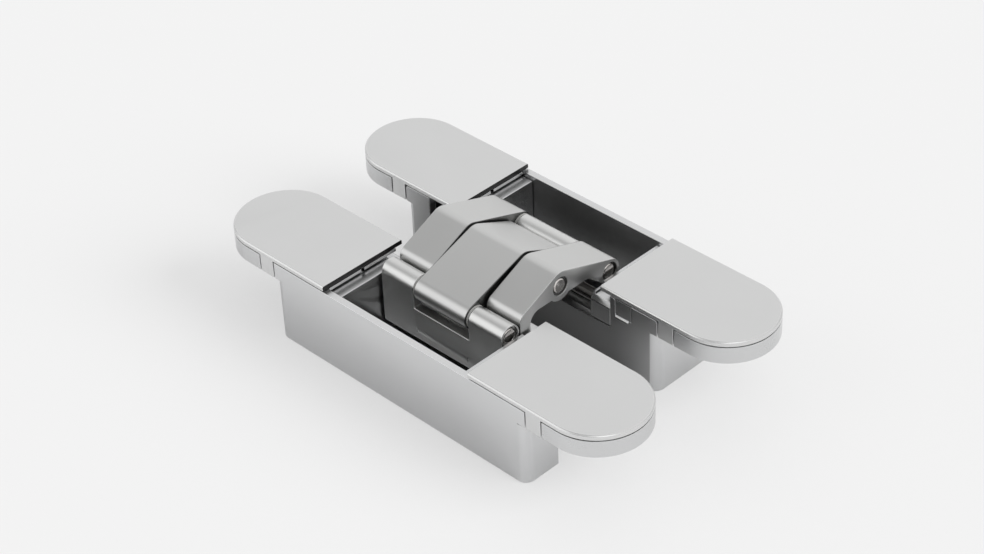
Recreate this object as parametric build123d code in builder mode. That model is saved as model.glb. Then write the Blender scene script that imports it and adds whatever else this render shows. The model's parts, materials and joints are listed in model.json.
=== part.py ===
"""Concealed door hinge with a 150 x 30 mm face, opened flat to 180 degrees.

Two cast housings are let into the edge of a door and of its frame. Three arms turn on
one apex pin between them. The two outer arms are rooted in housing A, the middle arm in
housing B, and a link in each housing steers the free tips of the arms.
X runs along the hinge, Y from housing A to housing B, Z up out of the faces. The origin is on
the floor under the middle of the hinge.
"""

import os
from math import acos, asin, atan2, cos, degrees, hypot, radians, sin

from build123d import *

# Leaves
LEAF_WIDTH = 30.0
LEAF_DEPTH = 27.0
LEAF_GAP = 21.0
LEAF_OVERHANG = 26.4

# Cover caps
CAP_ARM_GAP = 4.7
CAP_THICKNESS = 1.5
CAP_EDGE = 0.35
CAP_SHADOW_GAP = 0.3
TAB_THICKNESS = 1.9
TAB_SPACE = 6.0

# Housing
BODY_END_WALL = 17.0
BODY_CORNER_RADIUS = 3.0
BODY_BOTTOM_CHAMFER = 0.4
SIDE_WALL = 2.2
FLOOR_THICKNESS = 2.8
NOTCH_DEPTH = 12.4
RIM_CORNER_RADIUS = 1.0
WINDOW_LENGTH = 5.8
LEDGE_LENGTH = 4.8
LEDGE_HEIGHT = 0.9
RELIEF_LENGTH = 6.0
RELIEF_WIDTH = 17.9
RELIEF_HEIGHT = 7.5

# Mounting blocks that carry the wood screws
BLOCK_HEIGHT = 5.2
BLOCK_FLANK_INSET = 1.9
LAND_INSET = 1.0
TONGUE_THICKNESS = 0.9
TONGUE_NOTCH = 1.2
WOOD_SCREW_END = 7.0
WOOD_SCREW_PITCH = 10.0
WOOD_SCREW_HOLE_RADIUS = 2.6
WOOD_SCREW_HEAD_RADIUS = 4.7

# Clamp screws that hold a housing to its mounting blocks
CLAMP_INSET = 4.0
CLAMP_RADIUS = 2.0
CLAMP_LENGTH = 11.0
CLAMP_HEAD_RADIUS = 3.5
CLAMP_HEAD_HEIGHT = 2.2
CLAMP_SOCKET = 2.5
CLAMP_SOCKET_DEPTH = 1.4

# Bearing blocks that hold the pins of a housing
BEARING_LENGTH_LEFT = 12.7
BEARING_LENGTH_RIGHT = 7.3
BEARING_TOP = 3.2
BEARING_NOSE_TOP = 5.2
BEARING_NOSE_DEPTH = 5.5
BEARING_NOSE_CHAMFER = 1.2
CHEEK_THICKNESS = 0.9
CHEEK_TOP = 4.3
BEARING_PIN_DEPTH = 4.5
BEARING_LEFT_GAP = 2.0

# Arms and links along the hinge
MIDDLE_ARM_WIDTH = 19.8
OUTER_ARM_WIDTH = 12.6
ARM_GAP = 0.8
SIDE_GAP = 0.8

# Pivots of a leaf, as depth in from its inner side and height from the face of the caps
ROOT_PIVOT = (3.5, -8.0)
FOOT_PIVOT = (7.2, -14.9)
TIP_PIVOT = (9.1, -2.5)
APEX_HEIGHT = 3.3

# Arm outline
ROOT_HUB_RADIUS = 3.5
APEX_HUB_RADIUS = 4.6
TIP_HUB_RADIUS = 3.8
LEG_DEPTH = 5.3
LEG_THICKNESS = 3.9
SHOULDER_SLOPE = 24.5
SHOULDER_RADIUS = 3.0
ARCH_HEIGHT = 0.3
ARCH_RADIUS = 3.5
BELLY_HEIGHT = -0.15
BELLY_LENGTH = 11.0
BELLY_RADIUS = 2.0

# Link outline
KNUCKLE_RADIUS = 3.4
LINK_THICKNESS = 3.0
LINK_WINDOW_DEPTH = 8.4
EYE_WALL = 0.95
EYE_SLOT_RADIUS = 2.55
EYE_SLOT_TRAVEL = 1.9
EYE_SLOT_CENTRE = (8.15, -15.45)

# Pins and washers
ARM_PIN_RADIUS = 2.25
ROOT_PIN_RADIUS = 2.0
FOOT_PIN_RADIUS = 1.75
PIN_END_CHAMFER = 0.5
PIN_RECESS = 0.3
RING_RADIUS = 2.85
RING_DEPTH = 0.9
WASHER_THICKNESS = 0.6
WASHER_RADIUS = 3.4

# Clearances
RUNNING_FIT = 0.05
FIXED_FIT = 0.02
SEAT_GAP = 0.2
SEAM_GAP = 0.35

# Planes and places worked out from the sizes above
FACE_Z = LEAF_DEPTH
RIM_Z = FACE_Z - CAP_THICKNESS - CAP_SHADOW_GAP
BLOCK_Z = RIM_Z - BLOCK_HEIGHT
LAND_Z = FACE_Z - CAP_THICKNESS
OUTER_ARM_X = MIDDLE_ARM_WIDTH / 2 + ARM_GAP
ARM_SIDE_X = OUTER_ARM_X + OUTER_ARM_WIDTH
BEARING_X = ARM_SIDE_X + SIDE_GAP
CAVITY_LEFT = BEARING_X + BEARING_LENGTH_LEFT + BEARING_LEFT_GAP
CAVITY_RIGHT = BEARING_X + BEARING_LENGTH_RIGHT + SEAT_GAP
CAVITY_HALF_WIDTH = LEAF_WIDTH / 2 - SIDE_WALL
BODY_X = CAVITY_RIGHT + BODY_END_WALL
FLANK_X = CAVITY_RIGHT + BLOCK_FLANK_INSET
SHOULDER_X = BODY_X + TAB_SPACE
LEAF_X = BODY_X + LEAF_OVERHANG
CAP_X = ARM_SIDE_X + CAP_ARM_GAP
END_RADIUS = LEAF_WIDTH / 2
END_X = LEAF_X - END_RADIUS
CLAMP_X = BODY_X - CLAMP_INSET
WOOD_SCREW_X = LEAF_X - WOOD_SCREW_END
ARM_PIN_X = ARM_SIDE_X - PIN_RECESS
ROOT_PIN_X = BEARING_X + BEARING_PIN_DEPTH - SEAT_GAP
LEAF_A_Y = -(LEAF_GAP + LEAF_WIDTH) / 2


def across(depth, height=0.0):
    """A place in leaf A, from its inner side and from the face, as (Y, Z)."""
    return (-LEAF_GAP / 2 - depth, FACE_Z + height)


ROOT = across(*ROOT_PIVOT)
FOOT = across(*FOOT_PIVOT)
TIP = across(*TIP_PIVOT)
APEX = (0.0, FACE_Z + APEX_HEIGHT)
FAR_TIP = (-TIP[0], TIP[1])
EYE_CENTRE = across(*EYE_SLOT_CENTRE)


def on_circle(centre, radius, angle):
    """The point of a circle at an angle in degrees."""
    return (centre[0] + radius * cos(radians(angle)), centre[1] + radius * sin(radians(angle)))


def upper_tangent(left, left_radius, right, right_radius):
    """Where the line over the top of two circles touches the left and the right one."""
    dy, dz = right[0] - left[0], right[1] - left[1]
    normal = 90 + degrees(atan2(dz, dy)) - degrees(asin((left_radius - right_radius) / hypot(dy, dz)))
    return on_circle(left, left_radius, normal), on_circle(right, right_radius, normal)


def lower_touch(point, centre, radius):
    """Where a line from a point runs under a circle on its right and touches it."""
    dy, dz = centre[0] - point[0], centre[1] - point[1]
    spread = degrees(acos(radius / hypot(dy, dz)))
    return on_circle(centre, radius, degrees(atan2(-dz, -dy)) + spread)


def mirrored(part, plane):
    """The same piece on the other side of a plane."""
    with BuildPart() as other:
        add(part)
        mirror(about=plane, mode=Mode.REPLACE)
    return other.part


def rounded_end(height, start_x, half_width):
    """Plan of a piece that ends in the semicircle of leaf A, as a sketch at a height."""
    with BuildSketch(Plane.XY.offset(height)) as plan:
        with BuildLine():
            Polyline((END_X, LEAF_A_Y + half_width), (start_x, LEAF_A_Y + half_width),
                     (start_x, LEAF_A_Y - half_width), (END_X, LEAF_A_Y - half_width))
            ThreePointArc((END_X, LEAF_A_Y - half_width), (END_X + half_width, LEAF_A_Y),
                          (END_X, LEAF_A_Y + half_width))
        make_face()
    return plan.sketch


def housing(relieved):
    """Housing A: a deep cast box with a notch towards the other leaf.

    A relieved housing is cut away under the inner half of its right end.
    """
    cavity_length = CAVITY_LEFT + CAVITY_RIGHT
    cavity_x = (CAVITY_RIGHT - CAVITY_LEFT) / 2
    inner_y = LEAF_A_Y + LEAF_WIDTH / 2
    wall_y = inner_y - SIDE_WALL / 2
    with BuildPart() as body:
        with BuildSketch():
            with Locations((0, LEAF_A_Y)):
                RectangleRounded(2 * BODY_X, LEAF_WIDTH, BODY_CORNER_RADIUS)
        extrude(amount=BLOCK_Z)
        chamfer(body.faces().sort_by(Axis.Z)[0].edges(), BODY_BOTTOM_CHAMFER)
        with BuildSketch(Plane.XY.offset(BLOCK_Z)):
            with Locations((0, LEAF_A_Y)):
                Rectangle(2 * BODY_X, LEAF_WIDTH)
                Rectangle(2 * BODY_X, 2 * CAVITY_HALF_WIDTH, mode=Mode.SUBTRACT)
        extrude(amount=RIM_Z - BLOCK_Z)
        with BuildSketch(Plane.XY.offset(FLOOR_THICKNESS)):
            with Locations((cavity_x, LEAF_A_Y)):
                Rectangle(cavity_length, 2 * CAVITY_HALF_WIDTH)
        extrude(amount=RIM_Z, mode=Mode.SUBTRACT)
        # The notch lets the arms pass, and shows the bearing blocks from the side.
        with BuildSketch(Plane.XY.offset(FACE_Z - NOTCH_DEPTH)):
            with Locations((cavity_x, wall_y)):
                Rectangle(cavity_length, SIDE_WALL)
        extrude(amount=NOTCH_DEPTH, mode=Mode.SUBTRACT)
        # On the right the flank of the mounting block shows through a window over a bevelled ledge.
        with BuildSketch(Plane.XY.offset(BLOCK_Z)):
            with Locations((FLANK_X + WINDOW_LENGTH / 2, wall_y)):
                Rectangle(WINDOW_LENGTH, SIDE_WALL)
        extrude(amount=BLOCK_HEIGHT, mode=Mode.SUBTRACT)
        with BuildSketch(Plane.YZ.offset(FLANK_X)):
            with BuildLine():
                Polyline((inner_y, BLOCK_Z - LEDGE_HEIGHT), (inner_y, BLOCK_Z),
                         (inner_y - LEDGE_HEIGHT, BLOCK_Z), close=True)
            make_face()
        extrude(amount=LEDGE_LENGTH, mode=Mode.SUBTRACT)
        # Rounded upper corners of the inner wall, at its two ends and beside the window
        rim_edges = body.edges().filter_by(Axis.Y).filter_by_position(Axis.Z, RIM_Z - SEAT_GAP, RIM_Z + SEAT_GAP)
        inner_edges = rim_edges.filter_by_position(Axis.Y, inner_y - SIDE_WALL, inner_y)
        corners = [edge for edge in inner_edges
                   if min(abs(edge.center().X - x) for x in (-BODY_X, FLANK_X, BODY_X)) < SEAT_GAP]
        fillet(corners, RIM_CORNER_RADIUS)
        # Tapped holes of the clamp screws
        with Locations((-CLAMP_X, LEAF_A_Y, BLOCK_Z), (CLAMP_X, LEAF_A_Y, BLOCK_Z)):
            Hole(CLAMP_RADIUS + FIXED_FIT, CLAMP_LENGTH)
        if relieved:
            with BuildSketch():
                with Locations((BODY_X - RELIEF_LENGTH / 2, -(LEAF_GAP + RELIEF_WIDTH) / 2)):
                    Rectangle(RELIEF_LENGTH, RELIEF_WIDTH)
            extrude(amount=RELIEF_HEIGHT, mode=Mode.SUBTRACT)
    return body.part


def mounting_block(start, flank):
    """Mounting block at the right end of leaf A, which its housing is clamped to."""
    inner = 2 * (CAVITY_HALF_WIDTH - SEAT_GAP)
    neck = LEAF_WIDTH - 2 * (TAB_THICKNESS + SEAT_GAP)
    neck_x = BODY_X + SEAM_GAP
    with BuildPart() as block:
        with BuildSketch(Plane.XY.offset(BLOCK_Z)):
            with Locations(((start + SHOULDER_X) / 2, LEAF_A_Y)):
                Rectangle(SHOULDER_X - start, inner)
            with Locations(((neck_x + SHOULDER_X) / 2, LEAF_A_Y)):
                Rectangle(SHOULDER_X - neck_x, neck)
            if flank:
                side = SIDE_WALL + SEAT_GAP
                flank_length = FLANK_X + WINDOW_LENGTH - SEAT_GAP - start
                with Locations((start + flank_length / 2, LEAF_A_Y + (LEAF_WIDTH - side) / 2)):
                    Rectangle(flank_length, side)
        extrude(amount=BLOCK_HEIGHT)
        extrude(rounded_end(BLOCK_Z, SHOULDER_X, END_RADIUS), amount=BLOCK_HEIGHT)
        # Raised land under the cap, which leaves the shadow line round the end
        extrude(rounded_end(RIM_Z, SHOULDER_X, END_RADIUS - LAND_INSET), amount=LAND_Z - RIM_Z)
        # Thin tongue over the bearing block
        with BuildSketch(Plane.XY.offset(RIM_Z - TONGUE_THICKNESS)):
            with Locations(((CAP_X + start) / 2, LEAF_A_Y)):
                Rectangle(start - CAP_X, inner)
            with Locations((CAP_X, LEAF_A_Y)):
                Rectangle(2 * TONGUE_NOTCH, TONGUE_NOTCH, mode=Mode.SUBTRACT)
        extrude(amount=TONGUE_THICKNESS)
        # Countersunk holes of the two wood screws
        with Locations((WOOD_SCREW_X, LEAF_A_Y, LAND_Z), (WOOD_SCREW_X - WOOD_SCREW_PITCH, LEAF_A_Y, LAND_Z)):
            CounterSinkHole(WOOD_SCREW_HOLE_RADIUS, WOOD_SCREW_HEAD_RADIUS, counter_sink_angle=90)
        # Hole of the clamp screw, with a seat that sinks its head
        with Locations((CLAMP_X, LEAF_A_Y, RIM_Z)):
            CounterBoreHole(CLAMP_RADIUS + SEAT_GAP, CLAMP_HEAD_RADIUS + SEAT_GAP, CLAMP_HEAD_HEIGHT + SEAT_GAP)
    return block.part


def clamp_screw():
    """Socket-head screw through a mounting block into the housing."""
    seat_z = RIM_Z - SEAT_GAP - CLAMP_HEAD_HEIGHT
    with BuildPart() as screw:
        with BuildSketch(Plane.XY.offset(seat_z)):
            with Locations((CLAMP_X, LEAF_A_Y)):
                Circle(CLAMP_HEAD_RADIUS)
        extrude(amount=CLAMP_HEAD_HEIGHT)
        with BuildSketch(Plane.XY.offset(seat_z)):
            with Locations((CLAMP_X, LEAF_A_Y)):
                Circle(CLAMP_RADIUS)
        extrude(amount=-CLAMP_LENGTH)
        with BuildSketch(Plane.XY.offset(seat_z + CLAMP_HEAD_HEIGHT)):
            with Locations((CLAMP_X, LEAF_A_Y)):
                RegularPolygon(CLAMP_SOCKET / 2, 6, major_radius=False)
        extrude(amount=-CLAMP_SOCKET_DEPTH, mode=Mode.SUBTRACT)
    return screw.part


def cover_cap():
    """Cap at the right end of leaf A: a thin plate whose side tabs grip the mounting block."""
    tab_start, tab_end = BODY_X + SEAM_GAP, SHOULDER_X - SEAM_GAP
    tab_y = LEAF_WIDTH / 2 - TAB_THICKNESS / 2
    with BuildPart() as cap:
        extrude(rounded_end(LAND_Z, CAP_X, END_RADIUS), amount=CAP_THICKNESS)
        rim = cap.faces().sort_by(Axis.Z)[-1].edges().sort_by(Axis.X)[1:]
        chamfer(rim, CAP_EDGE)
        with BuildSketch(Plane.XY.offset(BLOCK_Z)):
            with Locations(((tab_start + tab_end) / 2, LEAF_A_Y - tab_y),
                           ((tab_start + tab_end) / 2, LEAF_A_Y + tab_y)):
                Rectangle(tab_end - tab_start, TAB_THICKNESS)
        extrude(amount=LAND_Z - BLOCK_Z)
    return cap.part


def bearing_block(length):
    """Bearing block at the right end of cavity A, with blind bores for the two hidden pins."""
    back = LEAF_WIDTH - SIDE_WALL - SEAT_GAP
    front = SIDE_WALL + SEAT_GAP
    nose = SEAT_GAP
    with BuildPart() as block:
        with BuildSketch(Plane.YZ.offset(BEARING_X)):
            with BuildLine():
                Polyline(
                    across(back, FLOOR_THICKNESS - FACE_Z),
                    across(front, FLOOR_THICKNESS - FACE_Z),
                    across(front, SEAT_GAP - NOTCH_DEPTH),
                    across(nose, SEAT_GAP - NOTCH_DEPTH),
                    across(nose, -BEARING_NOSE_TOP - BEARING_NOSE_CHAMFER),
                    across(nose + BEARING_NOSE_CHAMFER, -BEARING_NOSE_TOP),
                    across(BEARING_NOSE_DEPTH, -BEARING_NOSE_TOP),
                    across(BEARING_NOSE_DEPTH, -BEARING_TOP),
                    across(back, -BEARING_TOP),
                    close=True,
                )
            make_face()
        extrude(amount=length)
        # Thin cheek that stands above the nose
        with BuildSketch(Plane.YZ.offset(BEARING_X)):
            with BuildLine():
                Polyline(
                    across(BEARING_NOSE_DEPTH, -CHEEK_TOP),
                    across(nose + BEARING_NOSE_CHAMFER, -CHEEK_TOP),
                    across(nose + BEARING_NOSE_CHAMFER, -BEARING_NOSE_TOP),
                    across(BEARING_NOSE_DEPTH, -BEARING_NOSE_TOP),
                    close=True,
                )
            make_face()
        extrude(amount=CHEEK_THICKNESS)
        with BuildSketch(Plane.YZ.offset(BEARING_X)):
            with Locations(ROOT):
                Circle(ROOT_PIN_RADIUS + FIXED_FIT)
            with Locations(FOOT):
                Circle(FOOT_PIN_RADIUS + FIXED_FIT)
        extrude(amount=BEARING_PIN_DEPTH, mode=Mode.SUBTRACT)
    return block.part


def arm(start_x, end_x, ringed):
    """An arm rooted in leaf A, between two planes across the hinge.

    Its leg rises from the root pin, its shoulder and back run over the apex pin, and its
    tip reaches down into the other leaf. A ringed arm shows a recess round its pins.
    """
    leg_y, _ = across(LEG_DEPTH)
    arch_y = leg_y + LEG_THICKNESS
    shoulder_touch = on_circle(APEX, APEX_HUB_RADIUS, 90 + SHOULDER_SLOPE)
    slope = (APEX[0] - shoulder_touch[0]) / (shoulder_touch[1] - APEX[1])
    shoulder = (leg_y, shoulder_touch[1] - slope * (shoulder_touch[0] - leg_y))
    arch = (arch_y, FACE_Z + ARCH_HEIGHT)
    back_touch, tip_touch = upper_tangent(APEX, APEX_HUB_RADIUS, FAR_TIP, TIP_HUB_RADIUS)
    belly = (APEX[0] + BELLY_LENGTH, FACE_Z + BELLY_HEIGHT)
    tip_foot = lower_touch(belly, FAR_TIP, TIP_HUB_RADIUS)
    with BuildPart() as body:
        with BuildSketch(Plane.YZ.offset(start_x)) as outline:
            with BuildLine():
                Polyline((leg_y, ROOT[1]), shoulder, shoulder_touch, APEX, (APEX[0], arch[1]), arch,
                         (arch_y, ROOT[1]), close=True)
            make_face()
            fillet(outline.vertices().sort_by_distance((*shoulder, 0))[0], SHOULDER_RADIUS)
            fillet(outline.vertices().sort_by_distance((*arch, 0))[0], ARCH_RADIUS)
            with BuildLine():
                Polyline(APEX, back_touch, tip_touch, FAR_TIP, tip_foot, belly, (APEX[0], belly[1]), close=True)
            make_face()
            fillet(outline.vertices().sort_by_distance((*belly, 0))[0], BELLY_RADIUS)
            with Locations(ROOT):
                Circle(ROOT_HUB_RADIUS)
            with Locations(APEX):
                Circle(APEX_HUB_RADIUS)
            with Locations(FAR_TIP):
                Circle(TIP_HUB_RADIUS)
        extrude(amount=end_x - start_x)
        with BuildSketch(Plane.YZ.offset(start_x)):
            with Locations(ROOT):
                Circle(ROOT_PIN_RADIUS + RUNNING_FIT)
            with Locations(APEX, FAR_TIP):
                Circle(ARM_PIN_RADIUS + RUNNING_FIT)
        extrude(amount=end_x - start_x, mode=Mode.SUBTRACT)
        if ringed:
            with BuildSketch(Plane.YZ.offset(end_x)):
                with Locations(APEX, FAR_TIP):
                    Circle(RING_RADIUS)
            extrude(amount=-RING_DEPTH, mode=Mode.SUBTRACT)
    return body.part


def link(knuckles, eyes, ringed):
    """A link of leaf A. Its knuckles hang on the tip pin and its slotted eyes ride on the foot pin.

    Knuckles and eyes are lists of (start, end) along the hinge.
    """
    front_y = TIP[0] - KNUCKLE_RADIUS
    back_y = front_y + LINK_THICKNESS
    eye_radius = EYE_SLOT_RADIUS + EYE_WALL
    plate_bottom = EYE_CENTRE[1] - eye_radius
    window_z = FACE_Z - LINK_WINDOW_DEPTH
    with BuildPart() as body:
        with BuildSketch(Plane.YZ.offset(-ARM_SIDE_X)) as section:
            with BuildLine():
                Polyline((front_y, window_z), (back_y, window_z), (back_y, plate_bottom),
                         (front_y, plate_bottom), close=True)
            make_face()
            fillet(section.vertices().group_by(Axis.Y)[0], LINK_THICKNESS / 3)
        extrude(amount=2 * ARM_SIDE_X)
        for start, end in knuckles:
            with BuildSketch(Plane.YZ.offset(start)):
                with Locations(TIP):
                    Circle(KNUCKLE_RADIUS)
                with BuildLine():
                    Polyline((front_y, TIP[1]), (back_y, TIP[1]), (back_y, window_z), (front_y, window_z),
                             close=True)
                make_face()
            extrude(amount=end - start)
        for start, end in eyes:
            with BuildSketch(Plane.YZ.offset(start)):
                with Locations(EYE_CENTRE):
                    SlotCenterToCenter(EYE_SLOT_TRAVEL, 2 * eye_radius)
            extrude(amount=end - start)
        with BuildSketch(Plane.YZ.offset(-ARM_SIDE_X)):
            with Locations(TIP):
                Circle(ARM_PIN_RADIUS + RUNNING_FIT)
            with Locations(EYE_CENTRE):
                SlotCenterToCenter(EYE_SLOT_TRAVEL, 2 * EYE_SLOT_RADIUS)
        extrude(amount=2 * ARM_SIDE_X, mode=Mode.SUBTRACT)
        if ringed:
            for face_x, inward in ((ARM_SIDE_X, -RING_DEPTH), (-ARM_SIDE_X, RING_DEPTH)):
                with BuildSketch(Plane.YZ.offset(face_x)):
                    with Locations(TIP):
                        Circle(RING_RADIUS)
                extrude(amount=inward, mode=Mode.SUBTRACT)
    return body.part


def pin(place, radius, half_length, end_chamfer=0.0):
    """A straight pin along the hinge. Pins whose ends show have them chamfered."""
    with BuildPart() as body:
        with BuildSketch(Plane.YZ):
            with Locations(place):
                Circle(radius)
        extrude(amount=half_length, both=True)
        if end_chamfer:
            chamfer(body.faces().filter_by(Axis.X).edges(), end_chamfer)
    return body.part


def washer(place):
    """A thrust washer beside the right-hand side of the middle pieces."""
    with BuildPart() as body:
        with BuildSketch(Plane.YZ.offset(MIDDLE_ARM_WIDTH / 2 + (ARM_GAP - WASHER_THICKNESS) / 2)):
            with Locations(place):
                Circle(WASHER_RADIUS)
                Circle(ARM_PIN_RADIUS + RUNNING_FIT, mode=Mode.SUBTRACT)
        extrude(amount=WASHER_THICKNESS)
    return body.part


middle = (-MIDDLE_ARM_WIDTH / 2, MIDDLE_ARM_WIDTH / 2)
outer_right = (OUTER_ARM_X, ARM_SIDE_X)
outer_left = (-ARM_SIDE_X, -OUTER_ARM_X)
right_end = {
    "mounting_block": mounting_block(FLANK_X + SEAT_GAP, flank=True),
    "bearing_block": bearing_block(BEARING_LENGTH_RIGHT),
    "cover_cap": cover_cap(),
    "clamp_screw": clamp_screw(),
}
left_end = {
    "mounting_block": mounting_block(CAVITY_LEFT + SEAT_GAP, flank=False),
    "bearing_block": bearing_block(BEARING_LENGTH_LEFT),
    "cover_cap": cover_cap(),
    "clamp_screw": clamp_screw(),
}
outer_arm = arm(*outer_right, ringed=True)

leaf_a = {
    "housing_a": housing(relieved=True),
    "root_pin_a": pin(ROOT, ROOT_PIN_RADIUS, ROOT_PIN_X),
    "foot_pin_a": pin(FOOT, FOOT_PIN_RADIUS, ROOT_PIN_X),
}
for name, piece in right_end.items():
    leaf_a[name + "_a_right"] = piece
for name, piece in left_end.items():
    leaf_a[name + "_a_left"] = mirrored(piece, Plane.YZ)
leaf_b = {name.replace("_a", "_b", 1): mirrored(piece, Plane.XZ) for name, piece in leaf_a.items()}
leaf_b["housing_b"] = mirrored(housing(relieved=False), Plane.XZ)

linkage = {
    "outer_arm_right": outer_arm,
    "outer_arm_left": mirrored(outer_arm, Plane.YZ),
    "middle_arm": mirrored(arm(*middle, ringed=False), Plane.XZ),
    "link_a": link([outer_left, outer_right], [middle], ringed=True),
    "link_b": mirrored(link([middle], [outer_left, outer_right], ringed=False), Plane.XZ),
    "apex_pin": pin(APEX, ARM_PIN_RADIUS, ARM_PIN_X, PIN_END_CHAMFER),
    "tip_pin_a": pin(TIP, ARM_PIN_RADIUS, ARM_PIN_X, PIN_END_CHAMFER),
    "tip_pin_b": pin(FAR_TIP, ARM_PIN_RADIUS, ARM_PIN_X, PIN_END_CHAMFER),
}
for name, place in (("apex", APEX), ("tip_a", TIP), ("tip_b", FAR_TIP)):
    linkage[name + "_washer_right"] = washer(place)
    linkage[name + "_washer_left"] = mirrored(washer(place), Plane.YZ)

os.makedirs("parts", exist_ok=True)
for name, piece in {**leaf_a, **leaf_b, **linkage}.items():
    piece.label = name
    export_step(piece, f"parts/{name}.step")
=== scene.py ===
# %% [markdown]
# # A concealed door hinge, opened flat
# This lesson dresses a finished CAD model. The model brings every piece of the hinge at its real
# size and place, and says which pieces move together. What is left for Blender is what the eye
# judges: rolled edges, satin plating, turned pin ends, and a studio that gives metal something
# to mirror. One unit is a metre, X runs along the hinge and Z points out of its faces.

# %% Load the CAD model as a fixed frame
import json
from math import cos, radians, sin

import bmesh
import bpy
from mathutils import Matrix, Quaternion, Vector


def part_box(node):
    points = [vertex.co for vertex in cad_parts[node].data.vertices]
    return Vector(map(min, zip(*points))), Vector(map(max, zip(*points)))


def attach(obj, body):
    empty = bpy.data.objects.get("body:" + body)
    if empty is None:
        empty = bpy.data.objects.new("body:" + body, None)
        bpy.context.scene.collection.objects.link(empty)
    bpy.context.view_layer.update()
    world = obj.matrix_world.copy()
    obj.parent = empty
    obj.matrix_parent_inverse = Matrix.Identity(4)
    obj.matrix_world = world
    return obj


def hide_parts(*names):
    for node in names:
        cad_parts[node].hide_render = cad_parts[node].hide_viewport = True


MM = 0.001

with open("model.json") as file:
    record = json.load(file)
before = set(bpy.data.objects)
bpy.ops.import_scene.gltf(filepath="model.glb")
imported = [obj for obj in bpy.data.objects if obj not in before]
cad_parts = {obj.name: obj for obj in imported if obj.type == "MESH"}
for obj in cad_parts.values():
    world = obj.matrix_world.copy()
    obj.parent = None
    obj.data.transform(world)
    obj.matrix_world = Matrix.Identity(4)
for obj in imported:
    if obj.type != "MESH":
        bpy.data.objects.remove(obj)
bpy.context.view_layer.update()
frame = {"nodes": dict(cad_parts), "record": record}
slot_of = {part["node"]: part["material_slot"] for part in frame["record"]["subparts"]}
body_of = {node: body for body, nodes in frame["record"]["behaviour"]["bodies"].items() for node in nodes}

# %% [markdown]
# ## The camera
# A product photograph is usually taken from some distance with a long lens, so that edges which
# are parallel on the object stay almost parallel in the picture. Where the camera stood can be
# worked out from the corners of the four cover caps, because their size is known. It was also
# held a little askew, which the roll puts back.

# %% Place the camera
CAMERA_SPOT = Vector((386.47, -372.55, 418.12)) * MM
CAMERA_AIM = Vector((14.24, -16.67, 38.14)) * MM
CAMERA_ROLL = radians(-2.71)
CAMERA_LENS = 88.17
SENSOR_WIDTH = 36.0


def add_camera():
    """The photograph's camera, looking down at the hinge from its front right."""
    data = bpy.data.cameras.new("camera")
    data.lens = CAMERA_LENS
    data.sensor_width = SENSOR_WIDTH
    camera = bpy.data.objects.new("camera", data)
    camera.location = CAMERA_SPOT
    camera.rotation_mode = "QUATERNION"
    level = (CAMERA_AIM - CAMERA_SPOT).to_track_quat("-Z", "Y")
    camera.rotation_quaternion = level @ Quaternion((0, 0, 1), CAMERA_ROLL)
    bpy.context.scene.collection.objects.link(camera)
    bpy.context.scene.camera = camera
    return camera


camera = add_camera()
print("camera", round((CAMERA_AIM - CAMERA_SPOT).length, 3), "m from its aim")

# %% [markdown]
# ## Maths on nodes
# A material is a chain of nodes, and a formula of five terms is a chain of ten. Wrapping a socket
# in a small class lets the formula be written as a formula: each operator adds its Math node.
# Everything else comes from one method, which takes the node's type, its settings and its inputs.
# The same two classes serve materials, the sky and Geometry Nodes.

# %% A socket that can be added and multiplied
class Amount:
    """A number that varies over a surface, over the sky or along a shape."""

    def __init__(self, tree, socket):
        self.tree = tree
        self.socket = socket

    def math(self, operation, first, second=0.0):
        made = self.tree.node("ShaderNodeMath", {"operation": operation}, {0: first, 1: second})
        return Amount(self.tree, made.outputs[0])

    def __add__(self, other):
        return self.math("ADD", self, other)

    def __sub__(self, other):
        return self.math("SUBTRACT", self, other)

    def __rsub__(self, other):
        return self.math("SUBTRACT", other, self)

    def __mul__(self, other):
        return self.math("MULTIPLY", self, other)

    def __truediv__(self, other):
        return self.math("DIVIDE", self, other)

    def __gt__(self, other):
        return self.math("GREATER_THAN", self, other)

    def __lt__(self, other):
        return self.math("LESS_THAN", self, other)

    def __abs__(self):
        return self.math("ABSOLUTE", self)

    def sine(self):
        return self.math("SINE", self)

    def cosine(self):
        return self.math("COSINE", self)

    __radd__ = __add__
    __rmul__ = __mul__


# %% A tree of nodes that grows by one call at a time
class Tree:
    """A node tree, and what its nodes have in common."""

    def __init__(self, tree):
        self.nodes = tree.nodes
        self.links = tree.links

    def node(self, kind, settings=None, inputs=None):
        """A node of a type, its settings made first, then the values or links of its sockets."""
        made = self.nodes.new(kind)
        for name, value in (settings or {}).items():
            setattr(made, name, value)
        for name, value in (inputs or {}).items():
            self.set(made.inputs[name], value)
        return made

    def set(self, socket, value):
        """Links a socket to another one, or gives it a plain value."""
        if isinstance(value, Amount):
            value = value.socket
        if isinstance(value, bpy.types.NodeSocket):
            self.links.new(value, socket)
        else:
            socket.default_value = value

    def parts(self, vector):
        """The three parts of a vector."""
        split = self.node("ShaderNodeSeparateXYZ", None, {0: vector})
        return [Amount(self, output) for output in split.outputs]

    def ramp(self, amount, start, end, low=0.0, high=1.0):
        """A soft step from low to high while an amount goes from start to end."""
        inputs = {"Value": amount, "From Min": start, "From Max": end, "To Min": low, "To Max": high}
        made = self.node("ShaderNodeMapRange", {"interpolation_type": "SMOOTHSTEP"}, inputs)
        return Amount(self, made.outputs["Result"])


print("node trees are written as formulas")

# %% [markdown]
# ## A finish
# A finish is a material that starts from the place on the piece. Soft noise of a given size is
# what most of its detail comes from, and two tones with an amount between them are its colour.

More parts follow.
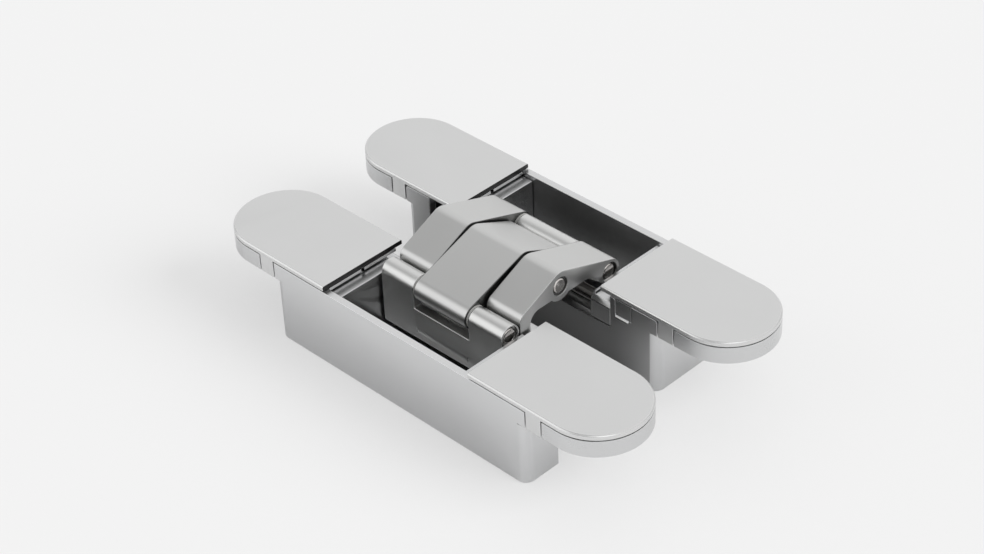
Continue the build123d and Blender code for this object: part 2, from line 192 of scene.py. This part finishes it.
# %% A material under construction
class Finish(Tree):
    """A material whose nodes are added one call at a time."""

    def __init__(self, name):
        self.material = bpy.data.materials.new(name)
        self.material.use_nodes = True
        super().__init__(self.material.node_tree)
        self.shader = self.nodes["Principled BSDF"]
        self.place = self.node("ShaderNodeTexCoord").outputs["Object"]

    def noise(self, size, detail=2.0, place=None):
        """Soft noise between 0 and 1 whose blobs are about this size in metres."""
        inputs = {"Vector": place or self.place, "Scale": 1 / size, "Detail": detail}
        return Amount(self, self.node("ShaderNodeTexNoise", None, inputs).outputs["Fac"])

    def painted(self, name):
        """A number painted on the faces of a piece."""
        return Amount(self, self.node("ShaderNodeAttribute", {"attribute_name": name}).outputs["Fac"])

    def tones(self, amount, first, second):
        """A colour between two tones, each a tuple or a socket."""
        made = self.node("ShaderNodeMix", {"data_type": "RGBA"}, {"Factor": amount})
        colours = [socket for socket in made.inputs if socket.type == "RGBA"]
        for socket, tone in zip(colours, (first, second)):
            self.set(socket, (*tone, 1) if isinstance(tone, tuple) else tone)
        return next(socket for socket in made.outputs if socket.type == "RGBA")

    def bump(self, height, strength, depth):
        inputs = {"Height": height, "Strength": strength, "Distance": depth}
        return self.node("ShaderNodeBump", None, inputs).outputs["Normal"]

    def shade(self, **sockets):
        """Sets the sockets of the shader, with underscores for the spaces in their names."""
        for name, value in sockets.items():
            self.set(self.shader.inputs[name.replace("_", " ")], value)
        return self.material


def scaled(tone, factor):
    """A tone made lighter or darker."""
    return tuple(channel * factor for channel in tone)


print("finishes start from the place on the piece")

# %% [markdown]
# ## Where shade is painted
# Light hardly reaches into deep or narrow places, so shade is painted into the colour there: the
# inside of a cavity, the walls that face the other leaf, the gaps between the arms, the rings round
# the pins and the inner ends of the caps are darker. The hinge's own sizes say where these places
# are, so each is a formula of the place on the piece. The amounts are small where a little light
# still reaches, and one where none does.

# %% Places where shade is painted
# The sizes of the places with painted shade, and how dark each one is painted.
CAVITY_REACH = 38.9 * MM
CAVITY_HALF_WIDTH = 12.85 * MM
CAVITY_FLOOR = 2.7 * MM
CAVITY_DARK = 0.32
LEAF_MIDDLE = 25.5 * MM
FACING_WALL = 10.53 * MM
FACING_BLOCK = 10.73 * MM
FACING_BLOCK_DARK = 0.9
FACING_FADE = (30 * MM, 64 * MM)
ARM_GAP_MIDDLE = 10.3 * MM
ARM_GAP_REACH = 0.60 * MM
PIN_PLACES = ((0, 30.3), (19.6, 24.5))
PIN_RING_RADIUS = 2.86 * MM
PIN_RING_START = 22.95 * MM
DEEP_DOWN = (21 * MM, 18 * MM)
CAP_INNER_END = 28.03 * MM


def on_facing_wall(finish, reach=FACING_WALL):
    """Painted shade: one on the walls that face the other leaf, fading towards the ends of the hinge."""
    x, y, z = finish.parts(finish.place)
    return (abs(y) < reach) * finish.ramp(abs(x), *FACING_FADE, 1, 0)


def on_facing_block(finish):
    """Some painted shade on the sides of the blocks that face the other leaf."""
    return FACING_BLOCK_DARK * on_facing_wall(finish, FACING_BLOCK)


def in_cavity(finish):
    """Painted shade: some inside the cavity of a housing, and most on the wall that faces the other leaf.
    """
    x, y, z = finish.parts(finish.place)
    across = abs(abs(y) - LEAF_MIDDLE) < CAVITY_HALF_WIDTH
    cavity = (abs(x) < CAVITY_REACH) * across * (z > CAVITY_FLOOR)
    return CAVITY_DARK * cavity + on_facing_wall(finish)


def deep_down(finish):
    """Painted shade: zero near the faces of the leaves, and one on what lies deep in a cavity."""
    x, y, z = finish.parts(finish.place)
    return finish.ramp(z, *DEEP_DOWN)


def in_arm_gap(finish):
    """Painted shade: one in the gaps between arms, in the rings round pins and low on the middle arm."""
    x, y, z = finish.parts(finish.place)
    dark = abs(abs(x) - ARM_GAP_MIDDLE) < ARM_GAP_REACH
    for across, height in PIN_PLACES:
        to_pin = {"X": abs(y) - across * MM, "Y": z - height * MM}
        offset = finish.node("ShaderNodeCombineXYZ", None, to_pin)
        distance = finish.node("ShaderNodeVectorMath", {"operation": "LENGTH"}, {0: offset.outputs[0]})
        near = Amount(finish, distance.outputs["Value"]) < PIN_RING_RADIUS
        dark = dark + near * (abs(x) < PIN_RING_START)
    return dark + (abs(x) < ARM_GAP_MIDDLE) * deep_down(finish)


def on_inner_end(finish):
    """Painted shade: one on the straight inner end of a cap."""
    x, y, z = finish.parts(finish.place)
    return abs(x) < CAP_INNER_END


print("dark places: cavities, facing walls, arm gaps, pin rings and the inner ends of the caps")

# %% [markdown]
# ## Satin plating
# The housings, blocks and caps are zinc castings, blasted with fine beads and plated with satin
# nickel. Such a surface mirrors softly. Up close it is a field of tiny dents, and across a
# finger's width its tone drifts a little where the bath was stronger. Both come from noise: a
# fine one for the dents, which drives bump and roughness, and a wide one for the drift. Handling
# polishes the rolled edges, so wherever the number "rolled" is painted on a piece its plating is
# brighter and smoother.

# %% The plated finishes
CLOUD_SIZE = 16 * MM
CLOUD_ROUGHNESS = 0.03
TONE_DRIFT = 0.02
DENT_SIZE = 0.25 * MM
DENT_DEPTH = 0.05 * MM
DENT_ROUGHNESS = 0.025
EDGE_POLISH = 1.06
EDGE_SMOOTHNESS = 0.1
# How dark painted shade makes a plate in general, and on the inner ends of the caps.
PAINTED_SHADE_FACTOR = 0.30
END_SHADE_FACTOR = 0.08
CAP_TONE = (0.700, 0.702, 0.700)
HOUSING_TONE = (0.695, 0.698, 0.702)
BLOCK_TONE = (0.640, 0.643, 0.646)
ARM_TONE = (0.620, 0.622, 0.616)
LINK_TONE = (0.705, 0.707, 0.699)


def satin_plate(name, tone, roughness, shade_place=None, shade_factor=PAINTED_SHADE_FACTOR):
    """Satin nickel plate on a blasted casting, with painted shade in the places that the given mask
    marks.
    """
    finish = Finish(name)
    cloud = finish.noise(CLOUD_SIZE, 3)
    dents = finish.noise(DENT_SIZE)
    rolled = finish.painted("rolled")
    plate = finish.tones(cloud, scaled(tone, 1 - TONE_DRIFT), scaled(tone, 1 + TONE_DRIFT))
    plate = finish.tones(rolled, plate, scaled(tone, EDGE_POLISH))
    # Painted shade: the plate is darkened in the places that the given mask marks.
    if shade_place:
        plate = finish.tones(shade_place(finish), plate, scaled(tone, shade_factor))
    uneven = CLOUD_ROUGHNESS * (cloud - 0.5) + DENT_ROUGHNESS * (dents - 0.5)
    return finish.shade(
        Base_Color=plate,
        Metallic=1.0,
        Roughness=roughness + uneven - EDGE_SMOOTHNESS * rolled,
        Normal=finish.bump(dents, DENT_ROUGHNESS / 2, DENT_DEPTH),
    )


# Every plated finish except the link's takes painted shade in its own places.
finishes = {
    "cap_metal": satin_plate("satin_cap", CAP_TONE, 0.34, on_inner_end, END_SHADE_FACTOR),
    "housing_metal": satin_plate("satin_housing", HOUSING_TONE, 0.30, in_cavity),
    "block_metal": satin_plate("satin_block", BLOCK_TONE, 0.28, on_facing_block),
    "arm_metal": satin_plate("satin_arm", ARM_TONE, 0.35, in_arm_gap),
    "link_metal": satin_plate("satin_link", LINK_TONE, 0.34),
}
print("plated finishes:", ", ".join(finishes))

# %% [markdown]
# ## Steel and plastic
# The pins are turned from bright steel, so fine rings run round their axis. The slide washers
# are a grey plastic that keeps metal from squeaking on metal.

# %% The other finishes
RING_WIDTH = 0.12 * MM
RING_SQUEEZE = 0.05
RING_DEPTH = 0.03 * MM
# How dark painted shade makes the steel deep in the cavities.
DEEP_SHADE_STEEL = 0.04
PIN_TONE = (0.720, 0.695, 0.670)
SCREW_TONE = (0.450, 0.450, 0.440)
WASHER_TONE = (0.300, 0.300, 0.290)
PLASTIC_GRAIN = 0.6 * MM


def bright_steel(name, tone, roughness):
    """Turned steel, with fine rings round an axis along the hinge."""
    finish = Finish(name)
    squeeze = (1, RING_SQUEEZE, RING_SQUEEZE)
    squeezed = finish.node("ShaderNodeMapping", None, {"Vector": finish.place, "Scale": squeeze})
    rings = finish.noise(RING_WIDTH, 2, squeezed.outputs[0])
    bright = finish.tones(rings, scaled(tone, 0.93), tone)
    return finish.shade(
        # Painted shade: the steel darkens deep in the cavities.
        Base_Color=finish.tones(deep_down(finish), bright, scaled(tone, DEEP_SHADE_STEEL)),
        Metallic=1.0,
        Roughness=roughness + 0.08 * (rings - 0.5),
        Normal=finish.bump(rings, 0.06, RING_DEPTH),
    )


def slide_plastic():
    """Grey washer plastic with a slight grain."""
    finish = Finish("slide_plastic")
    grain = finish.noise(PLASTIC_GRAIN)
    return finish.shade(
        Base_Color=finish.tones(grain, scaled(WASHER_TONE, 0.9), scaled(WASHER_TONE, 1.1)),
        Roughness=0.35 + 0.1 * grain,
        Normal=finish.bump(grain, 0.1, DENT_DEPTH),
    )


finishes["pin_steel"] = bright_steel("bright_pin", PIN_TONE, 0.14)
finishes["screw_steel"] = bright_steel("bright_screw", SCREW_TONE, 0.3)
finishes["washer_plastic"] = slide_plastic()
print("all finishes:", ", ".join(finishes))

# %% [markdown]
# ## Rolled edges
# No edge of a plated casting is a knife. The bath and the blasting round it by a tenth or two of
# a millimetre, and that thin round catches the light as a bright line, which is most of what
# makes metal look like metal. A CAD mesh is loose triangles with sharp edges, so each piece is
# copied, its triangles are merged back into whole faces, and a bevel rolls the edges. The bevel
# gives its faces a second material index, which is turned into the painted number "rolled". Its
# corners can stand a hair proud, so each piece is pulled back into the box of its CAD node.

# %% Merge the triangles of a CAD node
MERGE_DISTANCE = 1e-6
FLAT_ANGLE = radians(0.6)
SHARP_ANGLE = radians(32)


def whole_faces(node):
    """A copy of a CAD node's mesh with its triangles merged into whole flat faces."""
    shape = bmesh.new()
    shape.from_mesh(frame["nodes"][node].data)
    bmesh.ops.remove_doubles(shape, verts=shape.verts, dist=MERGE_DISTANCE)
    bmesh.ops.dissolve_limit(shape, angle_limit=FLAT_ANGLE, verts=shape.verts, edges=shape.edges)
    for face in shape.faces:
        face.smooth = True
    mesh = bpy.data.meshes.new(node)
    shape.to_mesh(mesh)
    shape.free()
    mesh.set_sharp_from_angle(angle=SHARP_ANGLE)
    return mesh


def applied(piece):
    """Turns a piece with modifiers into the plain mesh that they make."""
    evaluated = piece.evaluated_get(bpy.context.evaluated_depsgraph_get())
    mesh = bpy.data.meshes.new_from_object(evaluated)
    piece.modifiers.clear()
    piece.data = mesh
    return piece


print("triangles are merged before edges are rolled")

# %% Roll the edges of a piece
ROLLED_INDEX = 1


def kept_inside(piece, node):
    """Pulls a piece's outermost corners back to the box of the CAD node that it stands for."""
    low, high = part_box(node)
    for vertex in piece.data.vertices:
        for axis in range(3):
            vertex.co[axis] = min(max(vertex.co[axis], low[axis]), high[axis])
    return piece


def roll_edges(piece, roll, steps=2):
    """Rolls the sharp edges of a piece, and paints where it did."""
    bevel = piece.modifiers.new("roll", "BEVEL")
    bevel.width = roll
    bevel.segments = steps
    bevel.material = ROLLED_INDEX
    bevel.limit_method = "ANGLE"
    bevel.angle_limit = SHARP_ANGLE
    bevel.use_clamp_overlap = False
    bevel.harden_normals = True
    bevel.miter_outer = "MITER_SHARP"
    applied(piece)
    rolled = piece.data.attributes.new("rolled", "FLOAT", "FACE")
    for polygon, paint in zip(piece.data.polygons, rolled.data):
        paint.value = float(polygon.material_index == ROLLED_INDEX)
        polygon.material_index = 0
    return piece


# %% Put a piece in place of a CAD node
def finished(piece, node):
    """Gives a piece the finish and the body of the CAD node that it stands for."""
    piece.data.materials.clear()
    piece.data.materials.append(finishes[slot_of[node]])
    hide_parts(node)
    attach(piece, body_of[node])
    return piece


def dressed(node, roll):
    """A piece in place of a CAD node, with its edges rolled and its finish on."""
    piece = bpy.data.objects.new("dressed_" + node, whole_faces(node))
    bpy.context.scene.collection.objects.link(piece)
    for index in range(ROLLED_INDEX + 1):
        piece.data.materials.append(finishes[slot_of[node]])
    return finished(kept_inside(roll_edges(piece, roll), node), node)


print("edges are rolled by copies of the nodes")

# %% [markdown]
# ## The castings
# Caps, housings and blocks are rolled the most. The roll stays well under the thickness of the
# smallest lip, so that no face is eaten up.

# %% Dress the castings
ROLLS = {
    "cover_cap": 0.12 * MM,
    "housing": 0.14 * MM,
    "mounting_block": 0.12 * MM,
    "bearing_block": 0.16 * MM,
    "outer_arm": 0.12 * MM,
    "middle_arm": 0.12 * MM,
    "link": 0.18 * MM,
}

pieces = {}
for node in sorted(frame["nodes"]):
    for start, roll in ROLLS.items():
        if node.startswith(start):
            pieces[node] = dressed(node, roll)
print(len(pieces), "castings dressed")

# %% [markdown]
# ## Turned pins
# Seven pins cross the hinge: three through the arms, and two hidden in each housing. Each is a
# bar with two ends that a lathe has rounded, so its whole shape is one rule: how thick it is at
# each place along it. Geometry Nodes can follow such a rule. A line of points runs along the
# pin, its first and last points crowd into the rounded ends, each point gets the radius that the
# rule gives it, and a circle is swept along the line with those radii.

# %% The inputs of the pin tree
PIN_SIDES = 48
END_STEPS = 8
PIN_INPUTS = {
    "Length": "NodeSocketFloat",
    "Radius": "NodeSocketFloat",
    "Edge": "NodeSocketFloat",
    "Middle": "NodeSocketVector",
    "Steel": "NodeSocketMaterial",
}

pin_group = bpy.data.node_groups.new("turned_pin", "GeometryNodeTree")
pin_inputs = {}
for name, kind in PIN_INPUTS.items():
    socket = pin_group.interface.new_socket(name, in_out="INPUT", socket_type=kind)
    pin_inputs[name] = socket.identifier
pin_group.interface.new_socket("Geometry", in_out="OUTPUT", socket_type="NodeSocketGeometry")
print("a pin has", ", ".join(pin_inputs))

# %% A line of points with a radius at each
pin = Tree(pin_group)
given = pin.node("NodeGroupInput").outputs
length, radius, edge = (Amount(pin, given[name]) for name in ("Length", "Radius", "Edge"))
straight = pin.node("GeometryNodeCurvePrimitiveLine", None, {"End": (1, 0, 0)})
resampled = {"Curve": straight.outputs[0], "Count": 2 * END_STEPS}
points = pin.node("GeometryNodeResampleCurve", None, resampled)
index = Amount(pin, pin.node("GeometryNodeInputIndex").outputs[0])
from_end = index.math("MINIMUM", index, (2 * END_STEPS - 1) - index)
turn = from_end * (radians(90) / (END_STEPS - 1))
side = 2 * (index > END_STEPS - 0.5) - 1
along = side * (length / 2 - edge * (1 - turn.cosine()))
thickness = radius - edge * (1 - turn.sine())
place = pin.node("ShaderNodeCombineXYZ", None, {"X": along})
print("the ends are rounded in", END_STEPS, "steps")

# %% Sweep a circle along the line
moves = {"Geometry": points.outputs[0], "Position": place.outputs[0]}
moved = pin.node("GeometryNodeSetPosition", None, moves)
circle = pin.node("GeometryNodeCurvePrimitiveCircle", None, {"Resolution": PIN_SIDES, "Radius": 1.0})
sweeps = {"Curve": moved.outputs[0], "Profile Curve": circle.outputs[0], "Scale": thickness}
swept = pin.node("GeometryNodeCurveToMesh", None, {**sweeps, "Fill Caps": True})
shifts = {"Geometry": swept.outputs[0], "Translation": given["Middle"]}
carried = pin.node("GeometryNodeTransform", None, shifts)
real = pin.node("GeometryNodeRealizeInstances", None, {"Geometry": carried.outputs[0]})
coats = {"Geometry": real.outputs[0], "Material": given["Steel"]}
coated = pin.node("GeometryNodeSetMaterial", None, coats)
pin.node("NodeGroupOutput", None, {"Geometry": coated.outputs[0]})
print("the pin tree has", len(pin_group.nodes), "nodes")

# %% Turn the seven pins
PIN_EDGE = 0.55 * MM


def turned_pin(node):
    """A turned pin with the length, thickness and place of a CAD node."""
    low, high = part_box(node)
    piece = bpy.data.objects.new("turned_" + node, bpy.data.meshes.new(node))
    bpy.context.scene.collection.objects.link(piece)
    sweep = piece.modifiers.new("turned_pin", "NODES")
    sweep.node_group = pin_group
    sweep[pin_inputs["Length"]] = high.x - low.x
    sweep[pin_inputs["Radius"]] = (high.z - low.z) / 2
    sweep[pin_inputs["Edge"]] = PIN_EDGE
    sweep[pin_inputs["Middle"]] = (low + high) / 2
    sweep[pin_inputs["Steel"]] = finishes[slot_of[node]]
    applied(piece)
    for polygon in piece.data.polygons:
        polygon.use_smooth = True
    return finished(piece, node)


for node in sorted(frame["nodes"]):
    if "_pin" in node:
        pieces[node] = turned_pin(node)
print(len(pieces), "pieces dressed")

# %% [markdown]
# ## Washers and screws
# These keep the shape that the CAD gives them and only take their finish.

# %% Give the plain nodes their finish
for node, obj in frame["nodes"].items():
    if node not in pieces:
        obj.data.materials.clear()
        obj.data.materials.append(finishes[slot_of[node]])
print(len(frame["nodes"]) - len(pieces), "nodes keep their CAD shape")

# %% [markdown]
# ## The sky
# Metal shows the room more than itself, so the room is what a studio photographer builds. Here
# it is a sky of formulas: an even pale tone with soft round panels on it. Those at the back and
# the right brighten the flat tops, the one at the front left draws the bright bands along the
# knuckles and the rolled edges, and the one beside the camera is caught by the rounded pin ends.
# A shade overhead gives the sloping arms their deeper tone. Where the camera sees past the
# floor, the sky has the floor's own brightness, so no horizon shows.

# %% A sky with panels
SKY_TONE = 0.56
BACKDROP_TONE = 0.90
PANELS = {
    "back": (132, 30, 26, 58, 0.35),
    "right": (20, 35, 28, 62, 0.30),
    "front left": (230, 20, 16, 40, 0.66),
    "overhead shade": (188, 56, 6, 30, -0.17),
    "beside the camera": (-36, 50, 6, 22, 1.0),
}


def panel(sky, towards, turn, height, core, rim, glow):
    """A round soft panel at a turn and a height in degrees, full in its core, gone at its rim."""
    turn, height, core, rim = map(radians, (turn, height, core, rim))
    middle = (cos(height) * cos(turn), cos(height) * sin(turn), sin(height))
    product = sky.node("ShaderNodeVectorMath", {"operation": "DOT_PRODUCT"}, {0: towards, 1: middle})
    return sky.ramp(Amount(sky, product.outputs["Value"]), cos(rim), cos(core), 0.0, glow)


def add_sky():
    """A world whose brightness is the sum of its panels."""
    world = bpy.data.worlds.new("sky")
    world.use_nodes = True
    sky = Tree(world.node_tree)
    towards = sky.node("ShaderNodeTexCoord").outputs["Generated"]
    glow = sum((panel(sky, towards, *sizes) for sizes in PANELS.values()), SKY_TONE)
    seen = Amount(sky, sky.node("ShaderNodeLightPath").outputs["Is Camera Ray"])
    sky.set(sky.nodes["Background"].inputs["Strength"], glow * (1 - seen) + BACKDROP_TONE * seen)
    sky.set(sky.nodes["Background"].inputs["Color"], (1, 1, 1, 1))
    bpy.context.scene.world = world
    return world


add_sky()
print("a sky of tone", SKY_TONE, "with panels at the", ", ".join(PANELS))

# %% [markdown]
# ## Floor and lamp
# One broad lamp stands at the right, low enough to light the floor under the ends of the leaves.
# Metal doesn't mirror the lamp, because the lamp's image would burn out pale faces.
# The floor is matt and pale. A picture for a catalogue has a light background with faint
# shadows, so to the camera about half of the floor's tone is a plain glow, and the object's
# shadow on it stays visible but soft. Metal sees the same floor with hardly any of the glow.

# %% Floor and lamp
FLOOR_SIZE = 6.0
FLOOR_TONE = 0.76
FLOOR_GLOW = 0.87
GLOW_SEEN = 0.55
GLOW_MIRRORED = 0.04
LAMP_STRENGTH = 2.4
LAMP_WIDTH = radians(40)
LAMP_FROM = Vector((0.78, 0.34, 0.50))


def add_floor():
    """A wide matt floor that glows a little for the camera."""
    finish = Finish("sweep")
    pale = (FLOOR_TONE, FLOOR_TONE, FLOOR_TONE, 1)
    matt = finish.node("ShaderNodeBsdfDiffuse", None, {"Color": pale})
    glow = finish.node("ShaderNodeEmission", None, {"Color": (1, 1, 1, 1), "Strength": FLOOR_GLOW})
    ray = finish.node("ShaderNodeLightPath").outputs
    seen, mirrored, through = (Amount(finish, ray[name]) for name in
                               ("Is Camera Ray", "Is Glossy Ray", "Is Transmission Ray"))
    share = GLOW_SEEN * seen + GLOW_MIRRORED * (mirrored + through)
    mixed = finish.node("ShaderNodeMixShader", None, {0: share, 1: matt.outputs[0], 2: glow.outputs[0]})
    finish.set(finish.nodes["Material Output"].inputs["Surface"], mixed.outputs[0])
    mesh = bpy.data.meshes.new("floor")
    half = FLOOR_SIZE / 2
    corners = [(-half, -half, 0), (half, -half, 0), (half, half, 0), (-half, half, 0)]
    mesh.from_pydata(corners, [], [(0, 1, 2, 3)])
    mesh.materials.append(finish.material)
    floor = bpy.data.objects.new("floor", mesh)
    bpy.context.scene.collection.objects.link(floor)
    return floor


def add_lamp():
    """A broad sun at the right that lights the floor and that metal doesn't mirror."""
    data = bpy.data.lights.new("lamp", "SUN")
    data.energy = LAMP_STRENGTH
    data.angle = LAMP_WIDTH
    lamp = bpy.data.objects.new("lamp", data)
    lamp.rotation_mode = "QUATERNION"
    lamp.rotation_quaternion = LAMP_FROM.to_track_quat("Z", "Y")
    lamp.visible_glossy = False
    bpy.context.scene.collection.objects.link(lamp)
    return lamp


add_floor()
add_lamp()
bpy.context.scene.view_settings.view_transform = "Standard"
print("studio ready")
